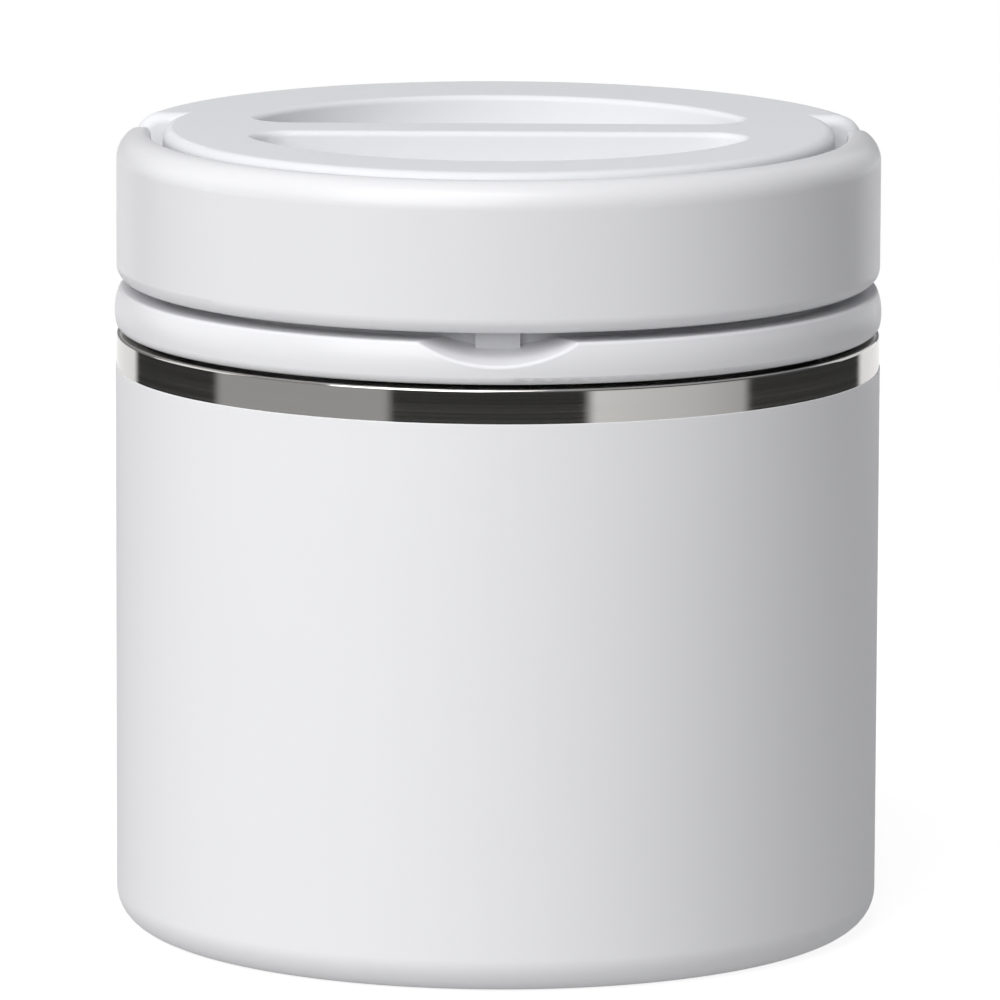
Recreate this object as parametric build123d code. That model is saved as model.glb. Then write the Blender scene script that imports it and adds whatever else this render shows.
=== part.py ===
from build123d import *
import os
from math import atan2, degrees, hypot

# Insulated food jar with a screw lid and a swing handle. Millimetres, +Z up, the origin at the centre of
# the foot, the front at -Y. The jar is a steel shell and a steel liner with a vacuum between them. The lid
# screws on the neck by a two-start thread. Its C-shaped handle lies round the front of the lid and swings
# up about two pins on an axis along X.

# Jar body
body_radius = 51.0
coat_thickness = 0.12
body_height = 79.7
bare_band_height = 4.5
steel_wall = 0.6
foot_fillet = 4.5
coat_end_angle = 70.0
shoulder_fillet = 0.8
neck_root_fillet = 1.0

# Foot and base, under the vacuum
foot_width = 11.0
base_recess = 2.0
base_slope = 2.0
dimple_radius = 6.0
dimple_depth = 1.0
pump_hole_radius = 1.2
seal_clearance = 0.8
seal_height = 0.75
seal_fillet = 0.25
cover_thickness = 0.4
cover_clearance = 0.8
getter_radius = 5.0
getter_height = 1.5
getter_offset = 18.0

# Liner, the pot that holds the food
liner_wall = 0.5
vacuum_gap = 3.08
base_vacuum_gap = 2.9
shoulder_vacuum_gap = 2.1
liner_base_fillet = 8.0
liner_shoulder_fillet = 6.0
liner_neck_fillet = 1.5
liner_foot_width = 11.2
liner_base_step = 0.6
liner_step_inset = 7.0

# Neck and its two-start thread
neck_gap = 0.6
neck_wall = 0.7
lip_thickness = 0.6
thread_starts = 2
thread_pitch = 4.0
thread_depth = 1.2
thread_root_width = 2.1
thread_crest_width = 1.3
thread_radial_clearance = 0.4
thread_end_margin = 1.4
thread_foot_margin = 0.45
thread_bury = 0.25
collar_thread_inset = 0.5

# Lid: heights of what shows, from the shoulder up
seating_gap = 0.5
skirt_height = 5.5
shadow_gap = 1.1
handle_height = 19.65
deck_rise = 0.55

# Lid: outer forms
lid_inset = 0.1
deck_thickness = 2.0
rear_wall = 2.0
top_fillet = 3.5
bay_clearance = 0.775
bay_wall = 1.8
bay_corner_fillet = 1.5
handle_slot = 1.75
core_wall = 1.8
deck_edge_fillet = 1.3

# Lid: grip recess in the deck, two pockets with a bar between them
grip_margin = 9.65
grip_arc_setback = 2.6
grip_depth = 10.0
grip_wall = 1.6
grip_floor_fillet = 2.5
grip_corner_fillet = 5.0
grip_rim_fillet = 0.8
bar_flat = 7.5

# Lid: lower ring with its skirt, thread collar and finger scoop
skirt_bulge = 0.15
skirt_bulge_height = 2.4
skirt_foot_inset = 0.25
skirt_top_inset = 0.5
skirt_wall = 2.3
skirt_foot_fillet = 1.3
skirt_top_fillet = 0.5
ledge_thickness = 2.0
collar_wall = 1.4
collar_clearance = 0.15
collar_raise = 0.5
light_stop_height = 2.3
light_stop_wall = 2.0
light_stop_clearance = 0.2
scoop_width = 22.9
scoop_height = 2.9
scoop_rise = 1.7
scoop_wall = 1.6
rest_width = 5.8
rest_root = 2.3
rest_length = 0.8
rest_inset = 0.2
rest_clearance = 0.3

# Lid: plug, foam and gasket
plug_wall = 1.2
plug_flange = 1.2
flange_fillet = 0.6
plug_depth = 4.4
plug_fillet = 1.5
plug_mouth_clearance = 0.5
gasket_height = 1.4
gasket_clearance = 0.15
gasket_overhang = 0.8
groove_depth = 0.7
gasket_fillet = 0.3
foam_clearance = 0.2

# Handle and its pivots
handle_thickness = 4.4
handle_fillet = 2.0
handle_inner_fillet = 0.8
pivot_setback = 2.0
pin_radius = 2.0
pin_clearance = 0.05
pin_grip_depth = 2.8
pin_head_radius = 3.1
pin_head_height = 1.0
bush_wall = 0.75
bush_flange_radius = 4.6
bush_clearance = 0.3
pivot_boss_radius = 3.5
pivot_boss_height = 0.95
boss_clearance = 0.1
washer_radius = 3.2
washer_height = 0.8
washer_clearance = 0.05

# Worked out from the sizes above: radii
skirt_radius = body_radius + skirt_bulge
lid_radius = body_radius - lid_inset
handle_inner_radius = lid_radius - handle_thickness
core_radius = handle_inner_radius - handle_slot
core_bore = core_radius - core_wall
collar_radius = core_bore - collar_clearance
collar_bore = collar_radius - collar_wall
thread_crest_radius = collar_bore - thread_radial_clearance
neck_radius = thread_crest_radius - thread_depth
neck_inner_radius = neck_radius - neck_wall
liner_neck_radius = neck_inner_radius - neck_gap
mouth_radius = liner_neck_radius - liner_wall
shell_radius = body_radius - coat_thickness
liner_radius = shell_radius - steel_wall - vacuum_gap
liner_base_radius = liner_radius - liner_foot_width
liner_step_radius = liner_base_radius - liner_step_inset
base_radius = body_radius - foot_width
plug_radius = mouth_radius - plug_mouth_clearance
groove_radius = plug_radius - groove_depth
boss_face = core_bore - pivot_boss_height
bush_bore = pin_radius + pin_clearance
bush_radius = bush_bore + bush_wall
washer_face = boss_face - washer_clearance
lead = thread_starts * thread_pitch

# Worked out from the sizes above: heights, and the face of the rear block
skirt_bottom = body_height + seating_gap
skirt_top = skirt_bottom + skirt_height
handle_bottom = skirt_top + shadow_gap
handle_top = handle_bottom + handle_height
deck_top = handle_top + deck_rise
deck_under = deck_top - deck_thickness
pivot_height = (handle_bottom + handle_top) / 2
bay_face = pivot_setback + handle_height / 2 + bay_clearance
flange_top = pivot_height - pivot_boss_radius - boss_clearance
flange_bottom = flange_top - plug_flange
lip_top = flange_bottom - gasket_height
lip_under = lip_top - lip_thickness
plug_bottom = lip_top - plug_depth
plug_floor = plug_bottom + plug_wall
liner_bottom = base_recess + steel_wall + base_vacuum_gap
liner_shoulder = body_height - steel_wall - shoulder_vacuum_gap
grip_floor = deck_top - grip_depth
grip_under = grip_floor - grip_wall
ledge_under = skirt_top - ledge_thickness
collar_bottom = skirt_bottom + collar_raise

# Room around the cutting solids
beyond = 5.0
wide = 4 * body_radius


def section(*corners):
    """Closed section from (radius, height) or (radius, height, corner radius), in order round it."""
    points = [(corner[0], corner[1]) for corner in corners]
    rounds = [corner[2] if len(corner) > 2 else 0 for corner in corners]
    return make_face(FilletPolyline(*points, radius=rounds, close=True))


def turned(face):
    """Solid of revolution about Z of a section drawn as (radius, height)."""
    return revolve(Plane.XZ * face, Axis.Z)


def drum(radius, bottom, top, top_corner=0):
    """Round solid about Z, its top edge rounded by top_corner."""
    return turned(section((0, bottom), (radius, bottom), (radius, top, top_corner), (0, top)))


def behind(y):
    """Half-space of everything further back than y."""
    return Pos(0, y + wide / 2, 0) * Box(wide, wide, 2 * wide)


def along_x(radius, x_low, x_high):
    """Cylinder along X on the pivot axis, between two places on the right side."""
    place = Pos((x_low + x_high) / 2, pivot_setback, pivot_height) * Rot(0, 90, 0)
    return place * Cylinder(radius, x_high - x_low)


def left_of(solid):
    """The same solid on the left side."""
    return mirror(solid, about=Plane.YZ)


def thread_ridge(root, crest, first_height, last_height, start_angle):
    """One helical ridge on a wall of radius root, its crest at radius crest, sunk a little in the wall."""
    outward = 1 if crest > root else -1
    buried = root - outward * thread_bury
    corners = [
        (buried, 0, -thread_root_width / 2),
        (root, 0, -thread_root_width / 2),
        (crest, 0, -thread_crest_width / 2),
        (crest, 0, thread_crest_width / 2),
        (root, 0, thread_root_width / 2),
        (buried, 0, thread_root_width / 2),
    ]
    path = Helix(pitch=lead, height=last_height - first_height, radius=root)
    ridge = sweep(make_face(Polyline(*corners, close=True)), path, is_frenet=True)
    return Pos(0, 0, first_height) * Rot(0, 0, start_angle) * ridge


def thread(root, crest, first_height, last_height, first_angle):
    """The ridges of all starts of the thread."""
    step = 360 / thread_starts
    ridges = [
        thread_ridge(root, crest, first_height, last_height, first_angle + step * start)
        for start in range(thread_starts)
    ]
    return ridges


# The neck's ridges begin at thread_first. The lid's lie half a pitch off them, in the gaps.
thread_first = body_height + neck_root_fillet + thread_root_width / 2 + thread_foot_margin
thread_last = lip_under - thread_end_margin - thread_root_width / 2
collar_thread_first = collar_bottom + thread_root_width / 2 + thread_foot_margin
collar_thread_last = thread_last - collar_thread_inset
collar_thread_angle = 360 * (collar_thread_first - thread_first - thread_pitch / 2) / lead


def make_outer_shell():
    """Steel outer wall in one drawing: foot ring, side, flat shoulder and threaded neck."""
    inside = shell_radius - steel_wall
    shell = turned(
        section(
            (base_radius, 0),
            (shell_radius, 0, foot_fillet),
            (shell_radius, body_height, shoulder_fillet),
            (neck_radius, body_height, neck_root_fillet),
            (neck_radius, lip_under),
            (neck_inner_radius, lip_under),
            (neck_inner_radius, body_height - steel_wall, neck_root_fillet / 2),
            (inside, body_height - steel_wall, shoulder_fillet - steel_wall),
            (inside, steel_wall, foot_fillet - steel_wall),
            (base_radius, steel_wall),
        )
    )
    return shell + thread(neck_radius, thread_crest_radius, thread_first, thread_last, 0)


def make_powder_coat():
    """Coat on the side and round the foot, ending just above the standing ring and below the bare band."""
    centre = (shell_radius - foot_fillet, foot_fillet)
    outer = CenterArc(centre, foot_fillet + coat_thickness, 0, -coat_end_angle)
    inner = CenterArc(centre, foot_fillet, 0, -coat_end_angle)
    coat_top = body_height - bare_band_height
    side = Polyline(outer @ 0, (body_radius, coat_top), (shell_radius, coat_top), inner @ 0)
    return turned(make_face([outer, side, inner, Line(inner @ 1, outer @ 1)]))


def make_outer_base():
    """Recessed base disc, butt welded inside the foot ring, with the dimple and hole of the pump port."""
    floor = base_recess
    dimple = floor + dimple_depth
    slope_top = base_radius - 2 * base_slope
    slope_foot = base_radius - base_slope
    return turned(
        section(
            (pump_hole_radius, dimple),
            (dimple_radius, dimple),
            (dimple_radius, floor),
            (slope_top, floor),
            (slope_foot, 0),
            (base_radius, 0),
            (base_radius, steel_wall),
            (slope_foot + steel_wall / 2, steel_wall),
            (slope_top + steel_wall / 2, floor + steel_wall),
            (dimple_radius + steel_wall, floor + steel_wall),
            (dimple_radius + steel_wall, dimple + steel_wall),
            (pump_hole_radius, dimple + steel_wall),
        )
    )


def make_vacuum_seal():
    """Solder bead that fills the pump hole and the roof of the dimple."""
    roof = base_recess + dimple_depth
    bead_radius = dimple_radius - seal_clearance
    bead_bottom = roof - seal_height
    return turned(
        section(
            (0, bead_bottom),
            (bead_radius, bead_bottom, seal_fillet),
            (bead_radius, roof),
            (pump_hole_radius, roof),
            (pump_hole_radius, roof + steel_wall),
            (0, roof + steel_wall),
        )
    )


def make_base_cover():
    """Thin disc that covers the pump port, bonded in the recess of the base."""
    radius = base_radius - 2 * base_slope - cover_clearance
    bottom = base_recess - cover_thickness
    return turned(
        section(
            (0, bottom),
            (radius, bottom, cover_thickness / 2),
            (radius, base_recess),
            (0, base_recess),
        )
    )


def make_getter():
    """Getter pellet, spot welded on the base inside the vacuum."""
    seat = base_recess + steel_wall
    return Pos(getter_offset, 0, seat + getter_height / 2) * Cylinder(getter_radius, getter_height)


def make_inner_liner():
    """Liner wall in one drawing: turned-in foot, side, shoulder, neck and the lip over the outer neck."""
    inside = liner_radius - liner_wall
    outside_fillet = liner_base_fillet + liner_wall
    return turned(
        section(
            (liner_base_radius, liner_bottom),
            (liner_radius, liner_bottom, outside_fillet),
            (liner_radius, liner_shoulder, liner_shoulder_fillet),
            (liner_neck_radius, liner_shoulder, liner_neck_fillet - liner_wall),
            (liner_neck_radius, lip_under),
            (neck_radius, lip_under),
            (neck_radius, lip_top, lip_thickness / 2),
            (mouth_radius, lip_top, lip_thickness / 2),
            (mouth_radius, liner_shoulder - liner_wall, liner_neck_fillet),
            (inside, liner_shoulder - liner_wall, liner_shoulder_fillet - liner_wall),
            (inside, liner_bottom + liner_wall, liner_base_fillet),
            (liner_base_radius, liner_bottom + liner_wall),
        )
    )


def make_inner_base():
    """Pressed bottom of the liner, butt welded in its turned-in foot, stepped down in the middle."""
    low = liner_bottom - liner_base_step
    step = liner_step_radius
    slope = 2 * liner_base_step
    return turned(
        section(
            (0, low),
            (step, low),
            (step + slope, liner_bottom),
            (liner_base_radius, liner_bottom),
            (liner_base_radius, liner_bottom + liner_wall),
            (step + slope - liner_wall / 2, liner_bottom + liner_wall),
            (step - liner_wall / 2, low + liner_wall),
            (0, low + liner_wall),
        )
    )


def grip_pocket(grow):
    """Plan of the rear pocket of the grip recess, grown outward by grow."""
    bar_half = bar_flat / 2 + grip_rim_fillet
    arc = Pos(0, -grip_arc_setback) * Circle(core_radius - grip_margin)
    half = Pos(0, bar_half + wide / 2) * Rectangle(wide, wide)
    pocket = fillet((arc & half).vertices(), grip_corner_fillet)
    return offset(pocket, grow) if grow else pocket


def grip_well(grow, bottom, top, floor_fillet):
    """Both pockets as solids, with rounded floors."""
    well = extrude(Pos(0, 0, bottom) * grip_pocket(grow), top - bottom)
    well = fillet(well.faces().sort_by(Axis.Z)[0].edges(), floor_fillet)
    return [well, mirror(well, about=Plane.XZ)]


def make_lid_cap():
    """Upper moulding: deck with its grip recess, core wall, and the rear block behind the handle's bay."""
    core = drum(core_radius, skirt_top, deck_top, deck_edge_fillet)
    rear = drum(lid_radius, handle_bottom, deck_top, top_fillet) & behind(bay_face)
    bay_edges = rear.faces().sort_by(Axis.Y)[0].edges().sort_by(Axis.Z)[1:]
    rear = fillet(bay_edges, bay_corner_fillet)

    core_room = drum(core_bore, 0, deck_under)
    rear_inside = lid_radius - rear_wall
    rear_room = turned(
        section(
            (core_radius, 0),
            (rear_inside, 0),
            (rear_inside, deck_under, top_fillet - rear_wall),
            (core_radius, deck_under),
        )
    )
    cap = core + rear - core_room - (rear_room & behind(bay_face + bay_wall))
    deck_middle = (deck_under + deck_top) / 2
    cap += grip_well(grip_wall, grip_under, deck_middle, grip_floor_fillet + grip_wall)
    cap -= grip_well(0, grip_floor, deck_top + beyond, grip_floor_fillet)
    rim = cap.faces().filter_by(Axis.Z).sort_by(Axis.Z)[-1].inner_wires().edges()
    cap = fillet(rim, grip_rim_fillet)

    boss = along_x(pivot_boss_radius, boss_face, core_bore + core_wall / 2)
    bore = along_x(bush_radius, boss_face - beyond, core_radius + beyond)
    return cap + [boss, left_of(boss)] - [bore, left_of(bore)]


def is_skirt_rim(edge):
    """Whether an edge runs along the top of the skirt or down round the scoop in it."""
    ends_on_top = all(abs((edge @ end).Z - skirt_top) < 0.01 for end in (0, 1))
    middle = edge @ 0.5
    return ends_on_top and hypot(middle.X, middle.Y) > core_radius + 0.01


def make_lid_collar():
    """Lower moulding: bulged skirt, ledge, thread collar, light stop, handle rest and finger scoop."""
    skirt_face = ThreePointArc(
        (body_radius - skirt_foot_inset, skirt_bottom),
        (skirt_radius, skirt_bottom + skirt_bulge_height),
        (body_radius - skirt_top_inset, skirt_top),
    )
    inside = body_radius - skirt_foot_inset - skirt_wall
    rest = Polyline(
        skirt_face @ 1,
        (collar_radius, skirt_top),
        (collar_radius, flange_bottom),
        (collar_bore, flange_bottom),
        (collar_bore, collar_bottom),
        (collar_radius, collar_bottom),
        (collar_radius, ledge_under),
        (inside, ledge_under),
        (inside, skirt_bottom),
        skirt_face @ 0,
    )
    face = make_face([skirt_face, rest])
    foot_corner = face.vertices().sort_by_distance((skirt_face @ 0))[0]
    collar = turned(fillet(foot_corner, skirt_foot_fillet))

    stop_outside = lid_radius - rear_wall - light_stop_clearance
    stop_inside = stop_outside - light_stop_wall
    stop_top = skirt_top + light_stop_height
    light_stop = drum(stop_outside, skirt_top, stop_top) - drum(stop_inside, 0, stop_top)
    light_stop = light_stop & behind(bay_face + bay_wall + light_stop_clearance)

    dish = ((scoop_width / 2) ** 2 + scoop_height**2) / (2 * scoop_height)
    run = skirt_radius - core_radius
    slope = degrees(atan2(scoop_rise, run))
    scoop_floor = Pos(0, -skirt_radius, skirt_top - scoop_height) * Rot(slope, 0, 0)
    scoop_axis = scoop_floor * Pos(0, 0, dish) * Rot(90, 0, 0)
    scoop = scoop_axis * Cylinder(dish, 4 * run) - drum(core_radius, 0, handle_top)
    channel = turned(
        section(
            (collar_radius, skirt_bottom + collar_raise),
            (inside + skirt_wall / 2, skirt_bottom + collar_raise),
            (inside + skirt_wall / 2, skirt_top - skirt_top_fillet),
            (collar_radius, skirt_top - skirt_top_fillet),
        )
    )
    backing = channel & (scoop_axis * Cylinder(dish + scoop_wall, 4 * run))
    collar = collar + backing - scoop
    collar = fillet(collar.edges().filter_by(is_skirt_rim), skirt_top_fillet)

    rest_bottom = skirt_top - rest_root
    rest_top = handle_bottom - rest_clearance
    rest_middle = core_radius + rest_inset + rest_length / 2
    handle_rest = Pos(0, -rest_middle, (rest_bottom + rest_top) / 2)
    handle_rest = handle_rest * Box(rest_width, rest_length, rest_top - rest_bottom)

    collar = collar + [light_stop, handle_rest]
    crest = collar_bore - thread_depth
    return collar + thread(
        collar_bore, crest, collar_thread_first, collar_thread_last, collar_thread_angle
    )


def make_lid_plug():
    """Food-side cup of the lid, with the groove that holds the gasket, welded on the collar."""
    inside = groove_radius - plug_wall
    return turned(
        section(
            (0, plug_bottom),
            (plug_radius, plug_bottom, plug_fillet),
            (plug_radius, lip_top - gasket_fillet),
            (groove_radius, lip_top - gasket_fillet),
            (groove_radius, flange_bottom),
            (collar_radius, flange_bottom),
            (collar_radius, flange_top, flange_fillet),
            (inside, flange_top),
            (inside, plug_floor, plug_fillet - gasket_fillet),
            (0, plug_floor),
        )
    )


def make_lid_gasket():
    """Silicone ring between the plug's flange and the lip of the neck."""
    inner = groove_radius + gasket_clearance
    outer = neck_radius + gasket_overhang
    return turned(
        section(
            (inner, lip_top, gasket_fillet),
            (outer, lip_top, gasket_fillet),
            (outer, flange_bottom, gasket_fillet),
            (inner, flange_bottom, gasket_fillet),
        )
    )


def make_lid_insulation():
    """Foam puck between the plug's floor and the underside of the grip recess."""
    radius = groove_radius - plug_wall - foam_clearance
    return turned(
        section(
            (0, plug_floor),
            (radius, plug_floor, plug_fillet),
            (radius, grip_under),
            (0, grip_under),
        )
    )


def runs_on_handle_inside(edge):
    """Whether an edge lies on the inside of the handle: round in front of the middle, flat behind it."""
    points = [edge @ share for share in (0, 0.5, 1)]
    reaches = [hypot(point.X, point.Y) if point.Y < 0 else abs(point.X) for point in points]
    return all(abs(reach - handle_inner_radius) < 0.01 for reach in reaches)


def outside_top_fillet():
    """Ring of what the top fillet takes off the handle's outer edge."""
    fillet_foot = handle_top - top_fillet
    outside = lid_radius + beyond
    above = handle_top + beyond
    rounding = CenterArc((lid_radius - top_fillet, fillet_foot), top_fillet, 0, 90)
    rest = Polyline(
        rounding @ 1,
        (lid_radius - top_fillet, above),
        (outside, above),
        (outside, fillet_foot),
        rounding @ 0,
    )
    return turned(make_face([rounding, rest]))


def make_handle():
    """C-shaped band with half-round ends on the pivot axis, flat inside at the ends, with blind pin bores."""
    ring = Pos(0, 0, pivot_height) * (
        Cylinder(lid_radius, handle_height) - Cylinder(handle_inner_radius, handle_height)
    )
    front = Pos(0, pivot_setback - wide / 2, pivot_height) * Box(wide, wide, handle_height)
    ends = along_x(handle_height / 2, -wide / 2, wide / 2)
    flat_room = Pos(0, wide / 2, pivot_height) * Box(2 * handle_inner_radius, wide, 2 * handle_height)
    band = (ring & (front + ends)) - flat_room

    outer_face = band.faces().filter_by(GeomType.CYLINDER).sort_by(SortBy.AREA)[-1]
    band = fillet(outer_face.edges(), handle_fillet)
    inner_edges = band.edges().filter_by(runs_on_handle_inside).filter_by(Axis.Z, reverse=True)
    band = fillet(inner_edges, handle_inner_fillet)
    bore = along_x(pin_radius, handle_inner_radius - beyond, handle_inner_radius + pin_grip_depth)
    return band - [outside_top_fillet(), bore, left_of(bore)]


def make_pivot_bush():
    """Bush in the core wall, its flange filling the slot between the wall and the handle."""
    flange_face = handle_inner_radius - bush_clearance
    sleeve = along_x(bush_radius, boss_face, flange_face)
    flange = along_x(bush_flange_radius, core_bore, flange_face)
    flange = flange - Pos(0, 0, pivot_height) * Cylinder(core_radius, handle_height)
    bore = along_x(bush_bore, boss_face - beyond, flange_face + beyond)
    return sleeve + flange - bore


def make_pivot_washer():
    """Friction washer under the head of the pin."""
    disc = along_x(washer_radius, washer_face - washer_height, washer_face)
    return disc - along_x(pin_radius, washer_face - beyond, washer_face + beyond)


def make_pivot_pin():
    """Headed pin, through the washer and the bush, pressed in the end of the handle."""
    head_face = washer_face - washer_height
    head = along_x(pin_head_radius, head_face - pin_head_height, head_face)
    return head + along_x(pin_radius, head_face, handle_inner_radius + pin_grip_depth)


nodes = {
    "outer_shell": make_outer_shell(),
    "powder_coat": make_powder_coat(),
    "outer_base": make_outer_base(),
    "vacuum_seal": make_vacuum_seal(),
    "base_cover": make_base_cover(),
    "getter": make_getter(),
    "inner_liner": make_inner_liner(),
    "inner_base": make_inner_base(),
    "lid_gasket": make_lid_gasket(),
    "lid_cap": make_lid_cap(),
    "lid_collar": make_lid_collar(),
    "lid_plug": make_lid_plug(),
    "lid_insulation": make_lid_insulation(),
    "handle": make_handle(),
}
for name, solid in {
    "pivot_bush": make_pivot_bush(),
    "pivot_washer": make_pivot_washer(),
    "pivot_pin": make_pivot_pin(),
}.items():
    nodes[name + "_right"] = solid
    nodes[name + "_left"] = left_of(solid)

os.makedirs("parts", exist_ok=True)
for name, solid in nodes.items():
    export_step(solid, os.path.join("parts", name + ".step"))
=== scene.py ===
"""Insulated food jar: its finished pieces and its studio, built round the fixed CAD frame."""

from math import cos, pi, radians, sin, tan

import bmesh
import bpy
from mathutils import Matrix, Vector


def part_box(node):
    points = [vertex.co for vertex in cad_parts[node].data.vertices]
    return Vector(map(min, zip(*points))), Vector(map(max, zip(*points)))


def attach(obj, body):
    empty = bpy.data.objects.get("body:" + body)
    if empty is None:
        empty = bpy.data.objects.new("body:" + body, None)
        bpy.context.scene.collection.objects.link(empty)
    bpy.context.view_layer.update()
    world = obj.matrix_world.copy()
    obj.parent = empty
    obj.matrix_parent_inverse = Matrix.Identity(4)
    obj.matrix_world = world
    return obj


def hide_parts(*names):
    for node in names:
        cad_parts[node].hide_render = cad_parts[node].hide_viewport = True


bl_info = {
    "name": "Insulated food jar",
    "version": (1, 0, 0),
    "blender": (4, 5, 0),
    "location": "View3D > Sidebar > Food jar",
    "description": "Builds the visible pieces of a vacuum food jar with a screw lid and a swing handle",
    "category": "Add Mesh",
}

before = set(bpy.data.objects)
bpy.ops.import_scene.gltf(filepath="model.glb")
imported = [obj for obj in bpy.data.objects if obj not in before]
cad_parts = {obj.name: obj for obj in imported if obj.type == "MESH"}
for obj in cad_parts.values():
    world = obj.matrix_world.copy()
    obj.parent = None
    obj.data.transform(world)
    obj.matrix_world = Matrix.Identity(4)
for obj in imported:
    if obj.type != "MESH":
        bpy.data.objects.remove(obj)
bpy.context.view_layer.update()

MM = 0.001


def linear(hex_colour):
    """sRGB hex, such as #E4E5E7, as linear red, green, blue and alpha."""
    channels = [int(hex_colour[start : start + 2], 16) / 255 for start in (1, 3, 5)]
    return tuple(c / 12.92 if c <= 0.04045 else ((c + 0.055) / 1.055) ** 2.4 for c in channels) + (1.0,)


def length(name, description, default):
    """A size in metres."""
    return bpy.props.FloatProperty(
        name=name, description=description, default=default, min=0, unit="LENGTH", precision=5
    )


def count(name, description, default):
    """A whole number of repeats or steps."""
    return bpy.props.IntProperty(name=name, description=description, default=default, min=1)


def colour(name, description, hex_colour):
    """A finish's colour."""
    return bpy.props.FloatVectorProperty(
        name=name, description=description, default=linear(hex_colour), size=4, subtype="COLOR"
    )


# Lowest and highest corners of the CAD nodes that the turned pieces stand for, in metres
shell_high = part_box("outer_shell")[1]
coat_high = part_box("powder_coat")[1]
pot_low, pot_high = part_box("inner_liner")
pot_floor_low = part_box("inner_base")[0]
plate_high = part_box("outer_base")[1]
cover_low, cover_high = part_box("base_cover")
gasket_low, gasket_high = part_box("lid_gasket")
plug_low, plug_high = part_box("lid_plug")


class JarSizes(bpy.types.PropertyGroup):
    """Sizes of the turned pieces and of the neck's thread."""

    side_radius: length("Side radius", "Outside of the bare steel side", shell_high.x)
    shoulder_height: length("Shoulder height", "Top of the flat shoulder", 79.7 * MM)
    steel_wall: length("Steel wall", "Sheet of the outer shell", 0.6 * MM)
    foot_rounding: length("Foot rounding", "Radius between the side and the foot", 4.5 * MM)
    shoulder_rounding: length("Shoulder rounding", "Radius at the edge of the shoulder", 0.35 * MM)
    neck_radius: length("Neck radius", "Outside of the neck under the thread", 39.8 * MM)
    neck_wall: length("Neck wall", "Sheet of the threaded neck", 0.7 * MM)
    neck_root_rounding: length("Neck root rounding", "Radius between shoulder and neck", 1.0 * MM)
    neck_top: length("Neck top", "Height at which the lip folds over the neck", shell_high.z)

    thread_starts: count("Thread starts", "Ridges that run side by side", 2)
    thread_lead: length("Thread lead", "Rise of a ridge in one turn", 8.0 * MM)
    thread_depth: length("Thread depth", "How far a ridge stands off the neck", 1.2 * MM)
    thread_root_width: length("Thread root width", "Width of a ridge at the neck", 2.1 * MM)
    thread_crest_width: length("Thread crest width", "Width of a ridge at its crest", 1.3 * MM)
    thread_first: length("Thread first height", "Middle of a ridge where it starts", 82.2 * MM)
    thread_last: length("Thread last height", "Middle of a ridge where it ends", 87.375 * MM)
    thread_run_out: bpy.props.FloatProperty(
        name="Thread run out",
        description="Turns over which a ridge sinks into the neck at each end",
        default=0.06,
        min=0.01,
    )

    coat_radius: length("Coat radius", "Outside of the powder coat", coat_high.x)
    coat_top: length("Coat top", "Where the bare steel band begins", coat_high.z)
    coat_rim: length("Coat rim", "Rounding of the coat's masked edge", 0.09 * MM)
    coat_end: bpy.props.FloatProperty(
        name="Coat end",
        description="How far the coat reaches round the foot, measured from level",
        default=radians(70),
        subtype="ANGLE",
    )

    plate_radius: length("Foot plate radius", "Weld between the foot ring and the plate", plate_high.x)
    plate_recess: length("Foot plate recess", "How far the plate lies above the ground", 2.0 * MM)
    plate_slope: length("Foot plate slope", "Width of the slope round the plate", 2.0 * MM)
    port_radius: length("Port radius", "Dimple of the pump port", 6.0 * MM)
    port_depth: length("Port depth", "Depth of the dimple", 1.0 * MM)
    port_hole: length("Port hole", "Radius of the pump hole", 1.2 * MM)

    pot_radius: length("Pot radius", "Outside of the liner", pot_high.x)
    pot_wall: length("Pot wall", "Sheet of the liner", 0.5 * MM)
    pot_shoulder: length("Pot shoulder", "Height of the liner's shoulder", 77.0 * MM)
    pot_floor_rounding: length("Pot floor rounding", "Radius round the food chamber's floor", 8.0 * MM)
    pot_shoulder_rounding: length("Pot shoulder rounding", "Radius under the shoulder", 6.0 * MM)
    pot_neck_rounding: length("Pot neck rounding", "Radius between shoulder and neck", 1.5 * MM)
    pot_neck_radius: length("Pot neck radius", "Outside of the liner's neck", 38.5 * MM)
    pot_step_radius: length("Pot step radius", "Edge of the low middle of the floor", 29.0 * MM)

    gasket_inner: length("Gasket inner radius", "Hole of the lip gasket", 36.95 * MM)
    gasket_rounding: length("Gasket rounding", "Radius of the gasket's edges", 0.3 * MM)

    plug_radius: length("Plug radius", "Side of the plug in the mouth", 37.5 * MM)
    plug_groove: length("Plug groove radius", "Bottom of the gasket's groove", 36.8 * MM)
    plug_wall: length("Plug wall", "Moulded wall of the plug", 1.2 * MM)
    plug_rounding: length("Plug rounding", "Radius at the plug's foot", 1.5 * MM)

    steps_round: count("Steps round", "Divisions of one turn", 384)
    steps_in_corner: count("Steps in a corner", "Divisions of a rounded corner", 8)
    steps_over_ridge: count("Steps over a ridge", "Divisions of a thread ridge's section and its back", 28)


class JarColours(bpy.types.PropertyGroup):
    """Colours of the finishes."""

    coat: colour("Powder coat", "Fine textured polyester coat on the side", "#EBEBED")
    gloss: colour("Gloss plastic", "Moulded polypropylene of the handle and the skirt", "#E6E6E8")
    satin: colour("Satin plastic", "Moulded polypropylene of the deck", "#E6E7E9")
    steel: colour("Stainless steel", "Bare steel of the band, the neck, the foot and the liner", "#D2D0CD")
    silicone: colour("Silicone", "Gasket between the lid and the lip", "#E3E3E1")
    foam: colour("Foam", "Insulation inside the lid", "#E6DFC2")
    solder: colour("Solder", "Glass solder of the pump port", "#3A3B3F")
    acetal: colour("Acetal", "Bushes of the handle's pivots", "#E0E0DC")
    getter: colour("Getter", "Sintered pellet inside the vacuum", "#5C5B5A")


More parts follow.
